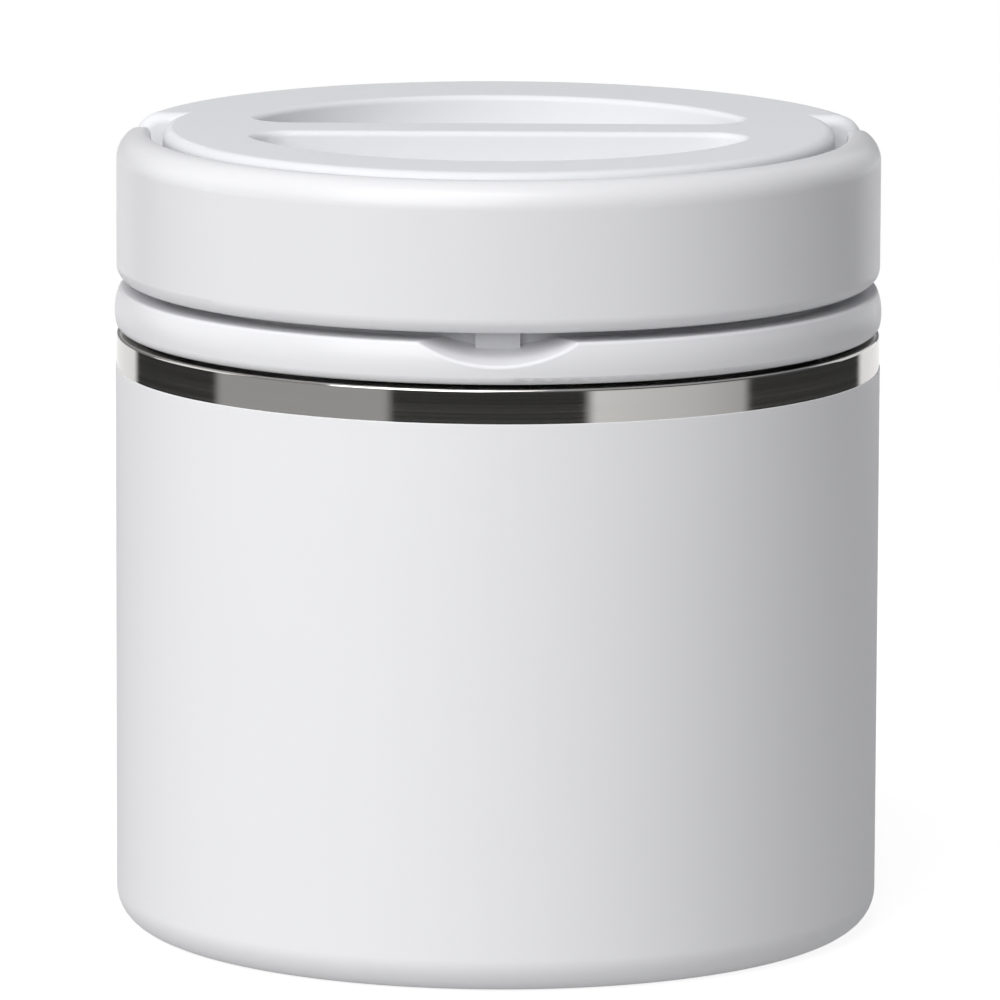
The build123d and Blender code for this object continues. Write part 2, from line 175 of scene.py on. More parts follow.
def add(tree, kind, values=None, **settings):
    """A node with its settings; values gives its inputs, each a value or the socket that feeds it."""
    made = tree.nodes.new(kind)
    for setting, value in settings.items():
        setattr(made, setting, value)
    for name, value in (values or {}).items():
        if isinstance(value, bpy.types.NodeSocket):
            tree.links.new(value, made.inputs[name])
        else:
            made.inputs[name].default_value = value
    return made


def turned_place(tree, place, across_mm, along_mm):
    """Coordinates in which marks round Z, across_mm apart and along_mm long, are one unit each way."""
    parts = add(tree, "ShaderNodeSeparateXYZ", {0: place}).outputs
    flat = add(tree, "ShaderNodeCombineXYZ", {"X": parts["X"], "Y": parts["Y"]}).outputs[0]
    radius = add(tree, "ShaderNodeVectorMath", {0: flat}, operation="LENGTH").outputs["Value"]
    angle = add(tree, "ShaderNodeMath", {0: parts["Y"], 1: parts["X"]}, operation="ARCTAN2").outputs[0]
    # The angle jumps where a turn ends, and its sine doesn't
    round_about = add(tree, "ShaderNodeMath", {0: angle}, operation="SINE").outputs[0]
    marks = add(tree, "ShaderNodeCombineXYZ", {"X": radius, "Y": round_about, "Z": parts["Z"]}).outputs[0]
    # One radian round the jar is as long as its radius
    jar_radius_mm = 50
    scale = (1 / (across_mm * MM), jar_radius_mm / along_mm, 1 / (across_mm * MM))
    return add(tree, "ShaderNodeMapping", {"Vector": marks, "Scale": scale}).outputs[0]


def finish(name, shader_values, marks):
    """A material: a Principled shader and the marks that its making leaves on it, each a dict.

    size_mm is the width of a mark, along_mm draws it out to that length round Z, and cells makes it a closed
    cell. detail and crispness are those of its noise. depth_mm and strength raise it over the marks before
    it, roughness is the range that it spreads over, and darker is the share that the colour loses where it
    is low.
    """
    material = bpy.data.materials.new(name)
    material.use_nodes = True
    tree = material.node_tree
    tree.nodes.clear()
    shader = add(tree, "ShaderNodeBsdfPrincipled", shader_values)
    output = add(tree, "ShaderNodeOutputMaterial", {"Surface": shader.outputs["BSDF"]})
    output.is_active_output = True
    place = add(tree, "ShaderNodeTexCoord").outputs["Object"]
    under = {}
    for mark in marks:
        values = {"Vector": place, "Scale": 1 / (mark["size_mm"] * MM)}
        if "cells" in mark:
            height = add(tree, "ShaderNodeTexVoronoi", values).outputs["Distance"]
        else:
            if "along_mm" in mark:
                lines = turned_place(tree, place, mark["size_mm"], mark["along_mm"])
                values = {"Vector": lines, "Scale": 1.0}
            values |= {"Detail": mark.get("detail", 2.0), "Roughness": mark.get("crispness", 0.5)}
            height = add(tree, "ShaderNodeTexNoise", values).outputs["Fac"]
        if "depth_mm" in mark:
            values = {"Height": height, "Distance": mark["depth_mm"] * MM, "Strength": mark["strength"]}
            relief = add(tree, "ShaderNodeBump", values | under).outputs["Normal"]
            tree.links.new(relief, shader.inputs["Normal"])
            under = {"Normal": relief}
        if "roughness" in mark:
            low, high = mark["roughness"]
            # Most of a noise lies between 0.3 and 0.7
            values = {"Value": height, "From Min": 0.3, "From Max": 0.7, "To Min": low, "To Max": high}
            spread = add(tree, "ShaderNodeMapRange", values).outputs["Result"]
            tree.links.new(spread, shader.inputs["Roughness"])
        if "darker" in mark:
            bright = tuple(shader_values["Base Color"])
            dark = tuple(channel * (1 - mark["darker"]) for channel in bright[:3]) + (1.0,)
            mixed = add(tree, "ShaderNodeMix", {0: height, 6: dark, 7: bright}, data_type="RGBA").outputs[2]
            tree.links.new(mixed, shader.inputs["Base Color"])


def powder_coated_steel(colour_value):
    """Polyester powder coat, cured on the steel. Low satin sheen over a fine leathery grain."""
    # The cured powder flows into lumps 0.3 to 0.5 mm across, over waves of a few millimetres
    marks = [
        dict(size_mm=0.45, detail=3.0, crispness=0.55, depth_mm=0.012, strength=0.5, roughness=(0.38, 0.48)),
        dict(size_mm=4.0, detail=1.0, depth_mm=0.02, strength=0.3),
        dict(size_mm=18.0, darker=0.015),
    ]
    values = {"Base Color": colour_value, "Roughness": 0.42, "IOR": 1.5}
    finish("powder_coat_satin_textured", values, marks)


def gloss_polypropylene(colour_value):
    """Polypropylene from a polished mould. Glossy, with the faint waves that shrinkage leaves."""
    marks = [
        dict(size_mm=12.0, detail=1.0, depth_mm=0.02, strength=0.25),
        dict(size_mm=3.0, roughness=(0.29, 0.34)),
        dict(size_mm=14.0, darker=0.012),
    ]
    values = {"Base Color": colour_value, "Roughness": 0.31, "IOR": 1.49}
    finish("polypropylene_gloss_moulded", values, marks)


def satin_polypropylene(colour_value):
    """Polypropylene from a spark-eroded mould. A fine even grain that breaks up the sheen."""
    # Real pits are about 0.1 mm across, and 0.25 mm is the finest that shows
    marks = [
        dict(size_mm=0.25, depth_mm=0.006, strength=0.45, roughness=(0.46, 0.56)),
        dict(size_mm=11.0, detail=1.0, depth_mm=0.03, strength=0.3),
        dict(size_mm=16.0, darker=0.015),
    ]
    values = {"Base Color": colour_value, "Roughness": 0.5, "IOR": 1.49}
    finish("polypropylene_satin_moulded", values, marks)


def polished_steel(colour_value):
    """Stainless steel, mirror polished on a lathe. Sharp reflections, drawn out a little round Z."""
    # Real lines are a few hundredths of a millimetre apart, and 0.3 mm is the finest that shows
    marks = [dict(size_mm=0.3, along_mm=60, depth_mm=0.0012, strength=0.3, roughness=(0.05, 0.09))]
    values = {"Base Color": colour_value, "Metallic": 1.0, "Roughness": 0.06}
    finish("stainless_steel_mirror_polished", values, marks)


def brushed_steel(colour_value):
    """Stainless steel, brushed round Z with a fine belt. Satin, with hair lines along the turn."""
    # Real lines are about 0.05 mm apart, and 0.25 mm is the finest that shows
    lines = dict(size_mm=0.25, along_mm=40, detail=4.0, crispness=0.6, depth_mm=0.004, strength=0.6)
    marks = [dict(lines, roughness=(0.24, 0.38), darker=0.08)]
    values = {"Base Color": colour_value, "Metallic": 1.0, "Roughness": 0.3}
    finish("stainless_steel_brushed", values, marks)


def soft_silicone(colour_value):
    """Moulded silicone rubber. Matt and slightly dusty, a little light passes into it."""
    marks = [dict(size_mm=0.4, depth_mm=0.004, strength=0.4, roughness=(0.5, 0.62))]
    values = {"Base Color": colour_value, "Roughness": 0.55, "IOR": 1.41}
    values |= {"Subsurface Weight": 0.15, "Subsurface Scale": 0.8 * MM}
    finish("silicone_rubber_moulded", values, marks)


def rigid_foam(colour_value):
    """Poured polyurethane foam. Dull, with closed cells about half a millimetre across."""
    marks = [dict(size_mm=0.5, cells=True, depth_mm=0.15, strength=0.8, darker=0.2)]
    finish("polyurethane_foam_poured", {"Base Color": colour_value, "Roughness": 0.9}, marks)


def glass_solder(colour_value):
    """Glass solder, melted in the port. Dark and glassy, with a few frozen bubbles."""
    marks = [dict(size_mm=0.8, detail=1.0, depth_mm=0.05, strength=0.5, roughness=(0.1, 0.25))]
    finish("glass_solder_fused", {"Base Color": colour_value, "Roughness": 0.15, "IOR": 1.6}, marks)


def moulded_acetal(colour_value):
    """Acetal, moulded and faced. Waxy and smooth, with a low even sheen."""
    marks = [dict(size_mm=0.3, depth_mm=0.003, strength=0.3, roughness=(0.3, 0.42))]
    finish("acetal_waxy_moulded", {"Base Color": colour_value, "Roughness": 0.35, "IOR": 1.48}, marks)


def sintered_getter(colour_value):
    """Pressed and sintered metal powder. Dull dark grey, gritty."""
    marks = [dict(size_mm=0.15, detail=3.0, depth_mm=0.03, strength=0.7, darker=0.4)]
    finish("getter_sintered_powder", {"Base Color": colour_value, "Metallic": 0.7, "Roughness": 0.7}, marks)


def repaint(node, material):
    """Gives a CAD node's faces one material."""
    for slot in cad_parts[node].material_slots:
        slot.material = material


def sockets_of(tree, sockets, output):
    """Gives a geometry tree its named inputs, given as name: kind, and one geometry output."""
    for name, kind in sockets.items():
        tree.interface.new_socket(name, in_out="INPUT", socket_type="NodeSocket" + kind)
    tree.interface.new_socket(output, in_out="OUTPUT", socket_type="NodeSocketGeometry")
    return add(tree, "NodeGroupInput").outputs


def finish_tree(tree, shape, sharp_angle, material):
    """Ends a geometry tree: joins the seams, shades it, keeps its edges crisp and gives it its finish."""
    joined = add(tree, "GeometryNodeMergeByDistance", {"Geometry": shape, "Distance": 0.001 * MM})
    smooth = add(tree, "GeometryNodeSetShadeSmooth", {"Geometry": joined.outputs[0]}, domain="FACE")
    bend = add(tree, "GeometryNodeInputMeshEdgeAngle").outputs["Unsigned Angle"]
    is_edge = add(tree, "FunctionNodeCompare", {"A": bend, "B": sharp_angle}, operation="GREATER_THAN")
    values = {"Geometry": smooth.outputs[0], "Selection": is_edge.outputs[0], "Shade Smooth": False}
    crisp = add(tree, "GeometryNodeSetShadeSmooth", values, domain="EDGE")
    real = add(tree, "GeometryNodeRealizeInstances", {"Geometry": crisp.outputs[0]})
    values = {"Geometry": real.outputs[0], "Material": material}
    finished = add(tree, "GeometryNodeSetMaterial", values)
    add(tree, "NodeGroupOutput", {0: finished.outputs[0]})


def turning_tree():
    """Tree that rounds the corners of an outline and turns it about Z, as a lathe does."""
    tree = bpy.data.node_groups.new("turned_outline", "GeometryNodeTree")
    sockets = {
        "Outline": "Geometry",
        "Closed": "Int",
        "Steps round": "Int",
        "Steps in a corner": "Int",
        "Sharp angle": "Float",
        "Finish": "Material",
    }
    given = sockets_of(tree, sockets, "Turned piece")
    rounding = add(tree, "GeometryNodeInputNamedAttribute", {"Name": "rounding"}, data_type="FLOAT")
    line = add(tree, "GeometryNodeMeshToCurve", {"Mesh": given["Outline"]}).outputs["Curve"]
    values = {
        "Curve": line,
        "Count": given["Steps in a corner"],
        "Radius": rounding.outputs["Attribute"],
        "Limit Radius": True,
    }
    rounded = add(tree, "GeometryNodeFilletCurve", values, mode="POLY").outputs["Curve"]
    size = add(tree, "GeometryNodeAttributeDomainSize", {"Geometry": rounded}, component="CURVE")
    points = size.outputs["Point Count"]
    rows = add(tree, "FunctionNodeIntegerMath", {0: points, 1: given["Closed"]}, operation="ADD").outputs[0]
    columns = add(tree, "FunctionNodeIntegerMath", {0: given["Steps round"], 1: 1}, operation="ADD")
    values = {"Size X": 1.0, "Size Y": 1.0, "Vertices X": columns.outputs[0], "Vertices Y": rows}
    grid = add(tree, "GeometryNodeMeshGrid", values).outputs["Mesh"]
    index = add(tree, "GeometryNodeInputIndex").outputs["Index"]
    row = add(tree, "FunctionNodeIntegerMath", {0: index, 1: rows}, operation="MODULO").outputs[0]
    point = add(tree, "FunctionNodeIntegerMath", {0: row, 1: points}, operation="MODULO").outputs[0]
    column = add(tree, "FunctionNodeIntegerMath", {0: index, 1: rows}, operation="DIVIDE_FLOOR").outputs[0]
    where = add(tree, "GeometryNodeInputPosition").outputs["Position"]
    values = {"Geometry": rounded, "Value": where, "Index": point}
    spot = add(tree, "GeometryNodeSampleIndex", values, data_type="FLOAT_VECTOR").outputs["Value"]
    step = add(tree, "ShaderNodeMath", {0: 2 * pi, 1: given["Steps round"]}, operation="DIVIDE").outputs[0]
    angle = add(tree, "ShaderNodeMath", {0: column, 1: step}, operation="MULTIPLY").outputs[0]
    values = {"Vector": spot, "Angle": angle}
    place = add(tree, "ShaderNodeVectorRotate", values, rotation_type="Z_AXIS").outputs["Vector"]
    turned = add(tree, "GeometryNodeSetPosition", {"Geometry": grid, "Position": place})
    finish_tree(tree, turned.outputs["Geometry"], given["Sharp angle"], given["Finish"])
    return tree


def thread_tree():
    """Tree that winds a rounded ridge up round Z, fades out both its ends and repeats it for every start."""
    tree = bpy.data.node_groups.new("wound_thread", "GeometryNodeTree")
    sockets = {
        "Start": "Geometry",
        "Starts": "Int",
        "Lead": "Float",
        "Root radius": "Float",
        "Depth": "Float",
        "Sunk": "Float",
        "Root width": "Float",
        "Crest width": "Float",
        "First height": "Float",
        "Last height": "Float",
        "Run out": "Float",
        "Steps along": "Int",
        "Steps across": "Int",
        "Sharp angle": "Float",
        "Finish": "Material",
    }
    given = sockets_of(tree, sockets, "Thread")
    columns = add(tree, "ShaderNodeMath", {0: given["Steps along"], 1: 1}, operation="ADD").outputs[0]
    rows = add(tree, "ShaderNodeMath", {0: given["Steps across"], 1: 1}, operation="ADD").outputs[0]
    values = {"Size X": 1.0, "Size Y": 1.0, "Vertices X": columns, "Vertices Y": rows}
    grid = add(tree, "GeometryNodeMeshGrid", values).outputs["Mesh"]
    where = add(tree, "GeometryNodeInputPosition").outputs["Position"]
    parts = add(tree, "ShaderNodeSeparateXYZ", {0: where}).outputs
    along = add(tree, "ShaderNodeMath", {0: parts["X"], 1: 0.5}, operation="ADD").outputs[0]
    across = add(tree, "ShaderNodeMath", {0: parts["Y"], 1: 0.5}, operation="ADD").outputs[0]

    values = {0: given["Last height"], 1: given["First height"]}
    rise = add(tree, "ShaderNodeMath", values, operation="SUBTRACT").outputs[0]
    climbed = add(tree, "ShaderNodeMath", {0: along, 1: rise}, operation="MULTIPLY").outputs[0]
    turns = add(tree, "ShaderNodeMath", {0: climbed, 1: given["Lead"]}, operation="DIVIDE").outputs[0]
    angle = add(tree, "ShaderNodeMath", {0: turns, 1: 2 * pi}, operation="MULTIPLY").outputs[0]

    # Both ends sink into the neck over the run out, given in turns, along a quarter of a circle
    still = add(tree, "ShaderNodeMath", {0: 1.0, 1: along}, operation="SUBTRACT").outputs[0]
    to_end = add(tree, "ShaderNodeMath", {0: along, 1: still}, operation="MINIMUM").outputs[0]
    all_turns = add(tree, "ShaderNodeMath", {0: rise, 1: given["Lead"]}, operation="DIVIDE").outputs[0]
    to_end = add(tree, "ShaderNodeMath", {0: to_end, 1: all_turns}, operation="MULTIPLY").outputs[0]
    share = add(tree, "ShaderNodeMath", {0: to_end, 1: given["Run out"]}, operation="DIVIDE").outputs[0]
    share = add(tree, "ShaderNodeMath", {0: share, 1: 1.0}, operation="MINIMUM").outputs[0]
    left = add(tree, "ShaderNodeMath", {0: 1.0, 1: share}, operation="SUBTRACT").outputs[0]
    square = add(tree, "ShaderNodeMath", {0: left, 1: left}, operation="MULTIPLY").outputs[0]
    square = add(tree, "ShaderNodeMath", {0: 1.0, 1: square}, operation="SUBTRACT").outputs[0]
    fade = add(tree, "ShaderNodeMath", {0: square}, operation="SQRT").outputs[0]

    # The first half of the steps across makes the ridge, the second half its back inside the wall
    swing = add(tree, "ShaderNodeMath", {0: across, 1: 2 * pi}, operation="MULTIPLY").outputs[0]
    swing = add(tree, "ShaderNodeMath", {0: swing}, operation="COSINE").outputs[0]
    reach = add(tree, "ShaderNodeMath", {0: given["Root width"], 1: -0.5}, operation="MULTIPLY").outputs[0]
    offset = add(tree, "ShaderNodeMath", {0: swing, 1: reach}, operation="MULTIPLY").outputs[0]
    off_middle = add(tree, "ShaderNodeMath", {0: offset}, operation="ABSOLUTE").outputs[0]
    foot = add(tree, "ShaderNodeMath", {0: given["Root width"], 1: 0.5}, operation="MULTIPLY").outputs[0]
    crest = add(tree, "ShaderNodeMath", {0: given["Crest width"], 1: 0.5}, operation="MULTIPLY").outputs[0]
    values = {"Value": off_middle, "From Min": foot, "From Max": crest}
    flank = add(tree, "ShaderNodeMapRange", values, interpolation_type="SMOOTHSTEP").outputs["Result"]
    in_front = add(tree, "ShaderNodeMath", {0: across, 1: 0.5}, operation="LESS_THAN").outputs[0]
    front = add(tree, "ShaderNodeMath", {0: flank, 1: in_front}, operation="MULTIPLY").outputs[0]
    front = add(tree, "ShaderNodeMath", {0: front, 1: fade}, operation="MULTIPLY").outputs[0]
    full = add(tree, "ShaderNodeMath", {0: given["Depth"], 1: given["Sunk"]}, operation="ADD").outputs[0]
    height = add(tree, "ShaderNodeMath", {0: full, 1: front}, operation="MULTIPLY").outputs[0]
    values = {0: given["Root radius"], 1: given["Sunk"]}
    back = add(tree, "ShaderNodeMath", values, operation="SUBTRACT").outputs[0]
    radius = add(tree, "ShaderNodeMath", {0: back, 1: height}, operation="ADD").outputs[0]
    level = add(tree, "ShaderNodeMath", {0: given["First height"], 1: climbed}, operation="ADD").outputs[0]
    beside = add(tree, "ShaderNodeMath", {0: offset, 1: fade}, operation="MULTIPLY").outputs[0]
    level = add(tree, "ShaderNodeMath", {0: level, 1: beside}, operation="ADD").outputs[0]
    spot = add(tree, "ShaderNodeCombineXYZ", {"X": radius, "Z": level}).outputs[0]
    values = {"Vector": spot, "Angle": angle}
    place = add(tree, "ShaderNodeVectorRotate", values, rotation_type="Z_AXIS").outputs["Vector"]
    ridge = add(tree, "GeometryNodeSetPosition", {"Geometry": grid, "Position": place})

    starts = add(tree, "GeometryNodePoints", {"Count": given["Starts"]}).outputs[0]
    index = add(tree, "GeometryNodeInputIndex").outputs["Index"]
    step = add(tree, "ShaderNodeMath", {0: 2 * pi, 1: given["Starts"]}, operation="DIVIDE").outputs[0]
    turn = add(tree, "ShaderNodeMath", {0: index, 1: step}, operation="MULTIPLY").outputs[0]
    euler = add(tree, "ShaderNodeCombineXYZ", {"Z": turn}).outputs[0]
    rotation = add(tree, "FunctionNodeEulerToRotation", {"Euler": euler}).outputs[0]
    values = {"Points": starts, "Instance": ridge.outputs["Geometry"], "Rotation": rotation}
    wound = add(tree, "GeometryNodeInstanceOnPoints", values).outputs[0]
    real = add(tree, "GeometryNodeRealizeInstances", {"Geometry": wound}).outputs[0]
    finish_tree(tree, real, given["Sharp angle"], given["Finish"])
    return tree


def grown(name, start_mesh, tree, values):
    """The plain mesh that a tree grows from a start mesh, as an object in the scene."""
    start = bpy.data.objects.new(name + "_start", start_mesh)
    bpy.context.scene.collection.objects.link(start)
    modifier = start.modifiers.new("shape", "NODES")
    modifier.node_group = tree
    for socket in tree.interface.items_tree:
        if socket.name in values:
            modifier[socket.identifier] = values[socket.name]
    # Long flat faces pull the normals of the roundings beside them true
    even = start.modifiers.new("even_normals", "WEIGHTED_NORMAL")
    even.keep_sharp = True
    depsgraph = bpy.context.evaluated_depsgraph_get()
    mesh = bpy.data.meshes.new_from_object(start.evaluated_get(depsgraph), depsgraph=depsgraph)
    mesh.name = name
    bpy.data.objects.remove(start)
    bpy.data.meshes.remove(start_mesh)
    solid = bmesh.new()
    solid.from_mesh(mesh)
    volume = solid.calc_volume(signed=True)
    open_edges = sum(1 for edge in solid.edges if not edge.is_manifold)
    solid.free()
    if volume <= 0 or open_edges:
        raise ValueError(f"{name} has volume {volume} and {open_edges} open edges")
    made = bpy.data.objects.new(name, mesh)
    bpy.context.scene.collection.objects.link(made)
    return made


def turned_piece(name, outline, material_name, size, closed=True):
    """A piece turned about Z from the corners of its section, each a radius, a height and a rounding."""
    mesh = bpy.data.meshes.new(name + "_outline")
    links = [(index, index + 1) for index in range(len(outline) - 1)]
    if closed:
        links.append((len(outline) - 1, 0))
    mesh.from_pydata([(corner[0], 0.0, corner[1]) for corner in outline], links, [])
    roundings = mesh.attributes.new("rounding", "FLOAT", "POINT")
    for item, corner in zip(roundings.data, outline):
        item.value = corner[2] if len(corner) > 2 else 0.0
    values = {
        "Closed": int(closed),
        "Steps round": size.steps_round,
        "Steps in a corner": size.steps_in_corner,
        "Sharp angle": radians(32),
        "Finish": bpy.data.materials[material_name],
    }
    return grown(name, mesh, bpy.data.node_groups.get("turned_outline") or turning_tree(), values)


def seat(piece, body, slot, *nodes):
    """Says which body a piece rides on and which CAD nodes it stands for. slot is not used."""
    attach(piece, body)
    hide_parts(*nodes)


class JAR_OT_finishes(bpy.types.Operator):
    """Make the materials of every piece"""

    bl_idname = "jar.finishes"
    bl_label = "Finishes"

    def execute(self, context):
        colours = context.scene.jar_colours
        powder_coated_steel(colours.coat)
        gloss_polypropylene(colours.gloss)
        satin_polypropylene(colours.satin)
        polished_steel(colours.steel)
        brushed_steel(colours.steel)
        soft_silicone(colours.silicone)
        rigid_foam(colours.foam)
        glass_solder(colours.solder)
        moulded_acetal(colours.acetal)
        sintered_getter(colours.getter)
        return {"FINISHED"}


class JAR_OT_steel_shell(bpy.types.Operator):
    """Make the polished steel shell, from its foot ring to the top of the neck"""

    bl_idname = "jar.steel_shell"
    bl_label = "Steel shell"

    def execute(self, context):
        size = context.scene.jar_sizes
        side, wall, neck = size.side_radius, size.steel_wall, size.neck_radius
        bore = neck - size.neck_wall
        outline = [
            (size.plate_radius, 0),
            (side, 0, size.foot_rounding),
            (side, size.shoulder_height, size.shoulder_rounding),
            (neck, size.shoulder_height, size.neck_root_rounding),
            (neck, size.neck_top),
            (bore, size.neck_top),
            (bore, size.shoulder_height - wall, size.neck_root_rounding / 2),
            (side - wall, size.shoulder_height - wall),
            (side - wall, wall, size.foot_rounding - wall),
            (size.plate_radius, wall),
        ]
        shell = turned_piece("steel_shell", outline, "stainless_steel_mirror_polished", size)
        seat(shell, "jar", "stainless_steel", "outer_shell")
        return {"FINISHED"}


class JAR_OT_neck_thread(bpy.types.Operator):
    """Wind the rolled thread round the neck"""

    bl_idname = "jar.neck_thread"
    bl_label = "Neck thread"

    def execute(self, context):
        size = context.scene.jar_sizes
        values = {
            "Starts": size.thread_starts,
            "Lead": size.thread_lead,
            "Root radius": size.neck_radius,
            "Depth": size.thread_depth,
            "Sunk": size.neck_wall / 3,
            "Root width": size.thread_root_width,
            "Crest width": size.thread_crest_width,
            "First height": size.thread_first,
            "Last height": size.thread_last,
            "Run out": size.thread_run_out,
            "Steps along": size.steps_round,
            "Steps across": size.steps_over_ridge,
            "Sharp angle": radians(60),
            "Finish": bpy.data.materials["stainless_steel_mirror_polished"],
        }
        empty = bpy.data.meshes.new("neck_thread_start")
        thread = grown("neck_thread", empty, thread_tree(), values)
        seat(thread, "jar", "stainless_steel", "outer_shell")
        return {"FINISHED"}


class JAR_OT_powder_coat(bpy.types.Operator):
    """Make the powder coat with its rounded masked edge"""

    bl_idname = "jar.powder_coat"
    bl_label = "Powder coat"

    def execute(self, context):
        size = context.scene.jar_sizes
        # The coat runs round the foot's rounding as far as the end angle
        centre = size.side_radius - size.foot_rounding
        outer = size.coat_radius - centre
        inner = size.foot_rounding
        half = tan(size.coat_end / 2)
        across, down = cos(size.coat_end), sin(size.coat_end)
        outline = [
            (centre + outer * across, inner - outer * down),
            (size.coat_radius, inner - outer * half, outer),
            (size.coat_radius, size.coat_top, size.coat_rim),
            (size.side_radius, size.coat_top),
            (size.side_radius, inner - inner * half, inner),
            (centre + inner * across, inner - inner * down),
        ]
        coat = turned_piece("powder_coat_skin", outline, "powder_coat_satin_textured", size)
        seat(coat, "jar", "powder_coat", "powder_coat")
        return {"FINISHED"}


class JAR_OT_foot(bpy.types.Operator):
    """Make the recessed foot plate and the cover of its pump port"""

    bl_idname = "jar.foot"
    bl_label = "Foot"

    def execute(self, context):
        size = context.scene.jar_sizes
        wall, floor = size.steel_wall, size.plate_recess
        roof = floor + size.port_depth
        slope_foot = size.plate_radius - size.plate_slope
        slope_top = slope_foot - size.plate_slope
        soft = wall / 2
        outline = [
            (size.port_hole, roof),
            (size.port_radius, roof, soft / 2),
            (size.port_radius, floor, soft / 2),
            (slope_top, floor, soft),
            (slope_foot, 0, soft),
            (size.plate_radius, 0),
            (size.plate_radius, wall),
            (slope_foot + soft, wall, soft),
            (slope_top + soft, floor + wall, soft),
            (size.port_radius + wall, floor + wall, soft / 2),
            (size.port_radius + wall, roof + wall, soft / 2),
            (size.port_hole, roof + wall),
        ]
        plate = turned_piece("foot_plate", outline, "stainless_steel_brushed", size)
        seat(plate, "jar", "stainless_steel", "outer_base")
        edge = (cover_high.z - cover_low.z) / 2
        outline = [
            (0, cover_low.z),
            (cover_high.x, cover_low.z, edge),
            (cover_high.x, cover_high.z),
            (0, cover_high.z),
        ]
        cover = turned_piece("port_cover", outline, "stainless_steel_brushed", size, closed=False)
        seat(cover, "jar", "stainless_steel", "base_cover")
        return {"FINISHED"}


class JAR_OT_food_pot(bpy.types.Operator):
    """Make the liner that holds the food, with its stepped floor and the lip over the neck"""

    bl_idname = "jar.food_pot"
    bl_label = "Food pot"

    def execute(self, context):
        size = context.scene.jar_sizes
        side, wall, neck = size.pot_radius, size.pot_wall, size.pot_neck_radius
        low, bottom, shoulder = pot_floor_low.z, pot_low.z, size.pot_shoulder
        lip = pot_high.z - size.neck_top
        # The step in the floor slopes down one in two
        slope = size.pot_step_radius + 2 * (bottom - low)
        outline = [
            (0, low),
            (size.pot_step_radius, low, wall),
            (slope, bottom, wall),
            (side, bottom, size.pot_floor_rounding + wall),
            (side, shoulder, size.pot_shoulder_rounding),
            (neck, shoulder, size.pot_neck_rounding - wall),
            (neck, size.neck_top),
            (size.neck_radius, size.neck_top),
            (size.neck_radius, pot_high.z, lip / 2),
            (neck - wall, pot_high.z, lip / 2),
            (neck - wall, shoulder - wall, size.pot_neck_rounding),
            (side - wall, shoulder - wall, size.pot_shoulder_rounding - wall),
            (side - wall, bottom + wall, size.pot_floor_rounding),
            (slope - wall / 2, bottom + wall, wall),
            (size.pot_step_radius - wall / 2, low + wall, wall),
            (0, low + wall),
        ]
        pot = turned_piece("food_pot", outline, "stainless_steel_brushed", size, closed=False)
        seat(pot, "jar", "stainless_steel", "inner_liner", "inner_base")
        return {"FINISHED"}


class JAR_OT_lip_gasket(bpy.types.Operator):
    """Make the silicone ring between the lid and the lip"""

    bl_idname = "jar.lip_gasket"
    bl_label = "Lip gasket"

    def execute(self, context):
        size = context.scene.jar_sizes
        soft = size.gasket_rounding
        outline = [
            (size.gasket_inner, gasket_low.z, soft),
            (gasket_high.x, gasket_low.z, soft),
            (gasket_high.x, gasket_high.z, soft),
            (size.gasket_inner, gasket_high.z, soft),
        ]
        gasket = turned_piece("lip_gasket", outline, "silicone_rubber_moulded", size)
        seat(gasket, "gasket", "silicone", "lid_gasket")
        return {"FINISHED"}


class JAR_OT_plug_cup(bpy.types.Operator):
    """Make the cup under the lid that faces the food"""

    bl_idname = "jar.plug_cup"
    bl_label = "Plug cup"

    def execute(self, context):
        size = context.scene.jar_sizes
        inside = size.plug_groove - size.plug_wall
        land = gasket_low.z - size.gasket_rounding
        floor = plug_low.z + size.plug_wall
        outline = [
            (0, plug_low.z),
            (size.plug_radius, plug_low.z, size.plug_rounding),
            (size.plug_radius, land, size.gasket_rounding / 2),
            (size.plug_groove, land),
            (size.plug_groove, gasket_high.z),
            (plug_high.x, gasket_high.z),
            (plug_high.x, plug_high.z, size.plug_wall / 2),
            (inside, plug_high.z),
            (inside, floor, size.plug_rounding - size.gasket_rounding),
            (0, floor),
        ]
        cup = turned_piece("plug_cup", outline, "polypropylene_gloss_moulded", size, closed=False)
        seat(cup, "lid", "white_plastic", "lid_plug")
        return {"FINISHED"}


class JAR_OT_cad_nodes(bpy.types.Operator):
    """Paint the CAD nodes that stay as they are"""

    bl_idname = "jar.cad_nodes"
    bl_label = "CAD nodes"

    def execute(self, context):
        finishes = {
            "polypropylene_gloss_moulded": ["handle", "lid_collar"],
            "polypropylene_satin_moulded": ["lid_cap"],
            "stainless_steel_mirror_polished": ["pivot_pin_left", "pivot_pin_right"],
            "silicone_rubber_moulded": ["pivot_washer_left", "pivot_washer_right"],
            "polyurethane_foam_poured": ["lid_insulation"],
            "glass_solder_fused": ["vacuum_seal"],
            "acetal_waxy_moulded": ["pivot_bush_left", "pivot_bush_right"],
            "getter_sintered_powder": ["getter"],
        }
        for name, nodes in finishes.items():
            for node in nodes:
                repaint(node, bpy.data.materials[name])
        return {"FINISHED"}


class JAR_OT_stage(bpy.types.Operator):
    """Make the floor, the studio light and the camera"""

    bl_idname = "jar.stage"
    bl_label = "Stage"

    def execute(self, context):
        make_floor()
        light_the_studio(context.scene)
        place_camera(context.scene)
        context.scene.view_settings.view_transform = "Standard"
        return {"FINISHED"}


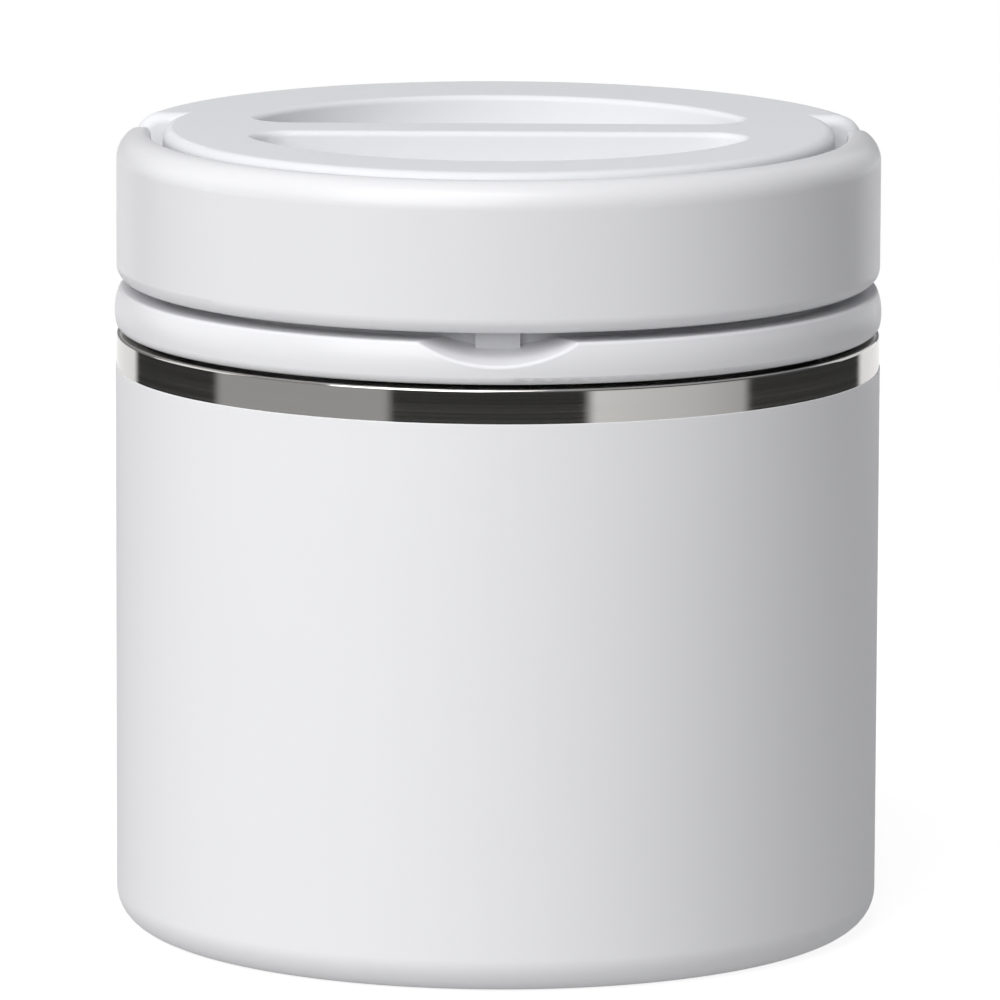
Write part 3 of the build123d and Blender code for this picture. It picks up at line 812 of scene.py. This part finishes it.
def make_floor():
    """Round white table that glows. To the camera it is as white as the backdrop but for the jar's shadow."""
    radius, sides = 450.0, 96
    # A hair under the foot, so that the two flat faces don't meet
    height = -0.02
    angles = [2 * pi * side / sides for side in range(sides)]
    rim = [(radius * cos(angle) * MM, radius * sin(angle) * MM, height * MM) for angle in angles]
    mesh = bpy.data.meshes.new("studio_floor")
    mesh.from_pydata(rim, [], [list(range(sides))])
    floor = bpy.data.objects.new("studio_floor", mesh)
    bpy.context.scene.collection.objects.link(floor)
    material = bpy.data.materials.new("studio_floor_white")
    material.use_nodes = True
    tree = material.node_tree
    tree.nodes.clear()
    paper = add(tree, "ShaderNodeBsdfDiffuse", {"Color": linear("#8E8E8E")})
    seen = add(tree, "ShaderNodeLightPath").outputs["Is Camera Ray"]
    glow_on_jar, glow_to_camera = 0.3, 0.85
    values = {"Value": seen, "To Min": glow_on_jar, "To Max": glow_to_camera}
    strength = add(tree, "ShaderNodeMapRange", values).outputs["Result"]
    glow = add(tree, "ShaderNodeEmission", {"Color": (1, 1, 1, 1), "Strength": strength})
    both = add(tree, "ShaderNodeAddShader", {0: paper.outputs[0], 1: glow.outputs[0]})
    add(tree, "ShaderNodeOutputMaterial", {"Surface": both.outputs[0]})
    mesh.materials.append(material)


def light_the_studio(scene):
    """White backdrop to the camera; a room with softboxes and dark flags, and four lamps, to the jar."""
    world = bpy.data.worlds.new("studio")
    scene.world = world
    world.use_nodes = True
    tree = world.node_tree
    tree.nodes.clear()
    direction = add(tree, "ShaderNodeTexCoord").outputs["Generated"]
    parts = add(tree, "ShaderNodeSeparateXYZ", {0: direction}).outputs
    towards = add(tree, "ShaderNodeMath", {0: parts["Y"], 1: -1.0}, operation="MULTIPLY").outputs[0]
    azimuth = add(tree, "ShaderNodeMath", {0: parts["X"], 1: towards}, operation="ARCTAN2").outputs[0]
    values = {"Value": azimuth, "From Min": -pi, "From Max": pi}
    share = add(tree, "ShaderNodeMapRange", values).outputs["Result"]
    walls = add(tree, "ShaderNodeValToRGB", {"Fac": share})
    # Brightness of the walls by azimuth in degrees from the camera, positive to the right
    patches = [
        (-180, 0.95), (-143, 0.95),  # white wall behind the jar
        (-139, 0.04), (-95, 0.04),  # dark flag
        (-92, 0.41), (-34, 0.41),  # left softbox
        (-31, 0.04), (26, 0.035),  # dark gap round the camera
        (29, 0.82), (62, 0.64), (79, 0.49),  # right softbox, brightest at its near edge
        (82, 0.04), (139, 0.04),  # dark flag
        (143, 0.95), (180, 0.95),  # white wall behind the jar
    ]
    stops = walls.color_ramp.elements
    while len(stops) < len(patches):
        stops.new(0.5)
    for stop, (degrees, brightness) in zip(stops, patches):
        stop.position = (degrees + 180) / 360
        stop.color = (brightness, brightness, brightness, 1)

    # The walls end at the horizon. Above it the room is dim, dimmer to the right, and paler overhead
    values = {"Value": parts["Z"], "From Min": -0.12, "From Max": 0.05}
    above = add(tree, "ShaderNodeMapRange", values, interpolation_type="SMOOTHSTEP").outputs["Result"]
    values = {"Value": parts["Z"], "From Min": 0.35, "From Max": 0.85}
    overhead = add(tree, "ShaderNodeMapRange", values, interpolation_type="SMOOTHSTEP").outputs["Result"]
    values = {"Value": parts["X"], "From Min": -0.2, "From Max": 0.6}
    rightwards = add(tree, "ShaderNodeMapRange", values).outputs["Result"]
    left_room, right_room, ceiling = (0.285, 0.285, 0.29, 1), (0.09, 0.095, 0.105, 1), (0.45, 0.45, 0.46, 1)
    values = {0: rightwards, 6: left_room, 7: right_room}
    room = add(tree, "ShaderNodeMix", values, data_type="RGBA").outputs[2]
    values = {0: overhead, 6: room, 7: ceiling}
    room = add(tree, "ShaderNodeMix", values, data_type="RGBA").outputs[2]
    values = {0: above, 6: walls.outputs["Color"], 7: room}
    room = add(tree, "ShaderNodeMix", values, data_type="RGBA").outputs[2]
    around = add(tree, "ShaderNodeBackground", {"Color": room, "Strength": 1.0})
    backdrop = add(tree, "ShaderNodeBackground", {"Color": (1, 1, 1, 1), "Strength": 1.0})
    seen = add(tree, "ShaderNodeLightPath").outputs["Is Camera Ray"]
    values = {0: seen, 1: around.outputs[0], 2: backdrop.outputs[0]}
    either = add(tree, "ShaderNodeMixShader", values)
    add(tree, "ShaderNodeOutputWorld", {"Surface": either.outputs[0]})

    soft_lamp("key_lamp", place_mm=(-540, -1060, 830), size_mm=(1250, 1250), watts=14.3)
    soft_lamp("strip_lamp", place_mm=(-195, -536, 1278), size_mm=(900, 350), watts=4.6)
    soft_lamp("left_lamp", place_mm=(-1073, 287, 360), size_mm=(800, 800), watts=1.6)
    soft_lamp("rim_lamp", place_mm=(739, 881, 360), size_mm=(800, 800), watts=1.5)


def soft_lamp(name, place_mm, size_mm, watts):
    """Flat lamp aimed at the middle of the jar."""
    lamp = bpy.data.lights.new(name, "AREA")
    lamp.shape = "RECTANGLE"
    lamp.size, lamp.size_y = size_mm[0] * MM, size_mm[1] * MM
    lamp.energy = watts
    made = bpy.data.objects.new(name, lamp)
    made.location = Vector(place_mm) * MM
    middle = Vector((0, 0, 55 * MM))
    made.rotation_euler = (middle - made.location).to_track_quat("-Z", "Y").to_euler()
    bpy.context.scene.collection.objects.link(made)


def place_camera(scene):
    """Long lens from 1.4 m in front, a little above, looking 9.7 degrees down."""
    place_mm, down, roll = (0.36, -1369.9, 290.5), 9.687, 0.247
    camera = bpy.data.cameras.new("camera")
    camera.sensor_width = 36.0
    camera.lens = 373.6
    camera.clip_start, camera.clip_end = 0.1, 20.0
    made = bpy.data.objects.new("camera", camera)
    turn = Matrix.Rotation(radians(90 - down), 4, "X") @ Matrix.Rotation(radians(roll), 4, "Z")
    made.matrix_world = Matrix.Translation(Vector(place_mm) * MM) @ turn
    scene.collection.objects.link(made)
    scene.camera = made


class JAR_PT_sidebar(bpy.types.Panel):
    """Lists the jar's sizes, colours and operators"""

    bl_idname = "JAR_PT_sidebar"
    bl_label = "Food jar"
    bl_space_type = "VIEW_3D"
    bl_region_type = "UI"
    bl_category = "Food jar"

    def draw(self, context):
        for name in JarSizes.__annotations__:
            self.layout.prop(context.scene.jar_sizes, name)
        for name in JarColours.__annotations__:
            self.layout.prop(context.scene.jar_colours, name)
        for operator in operators:
            self.layout.operator(operator.bl_idname)


operators = [
    JAR_OT_finishes,
    JAR_OT_steel_shell,
    JAR_OT_neck_thread,
    JAR_OT_powder_coat,
    JAR_OT_foot,
    JAR_OT_food_pot,
    JAR_OT_lip_gasket,
    JAR_OT_plug_cup,
    JAR_OT_cad_nodes,
    JAR_OT_stage,
]
classes = [JarSizes, JarColours, *operators, JAR_PT_sidebar]


def register():
    for made in classes:
        bpy.utils.register_class(made)
    bpy.types.Scene.jar_sizes = bpy.props.PointerProperty(type=JarSizes)
    bpy.types.Scene.jar_colours = bpy.props.PointerProperty(type=JarColours)


def unregister():
    del bpy.types.Scene.jar_colours
    del bpy.types.Scene.jar_sizes
    for made in reversed(classes):
        bpy.utils.unregister_class(made)


def main():
    register()
    bpy.ops.jar.finishes()
    bpy.ops.jar.steel_shell()
    bpy.ops.jar.neck_thread()
    bpy.ops.jar.powder_coat()
    bpy.ops.jar.foot()
    bpy.ops.jar.food_pot()
    bpy.ops.jar.lip_gasket()
    bpy.ops.jar.plug_cup()
    bpy.ops.jar.cad_nodes()
    bpy.ops.jar.stage()


if __name__ == "__main__":
    main()
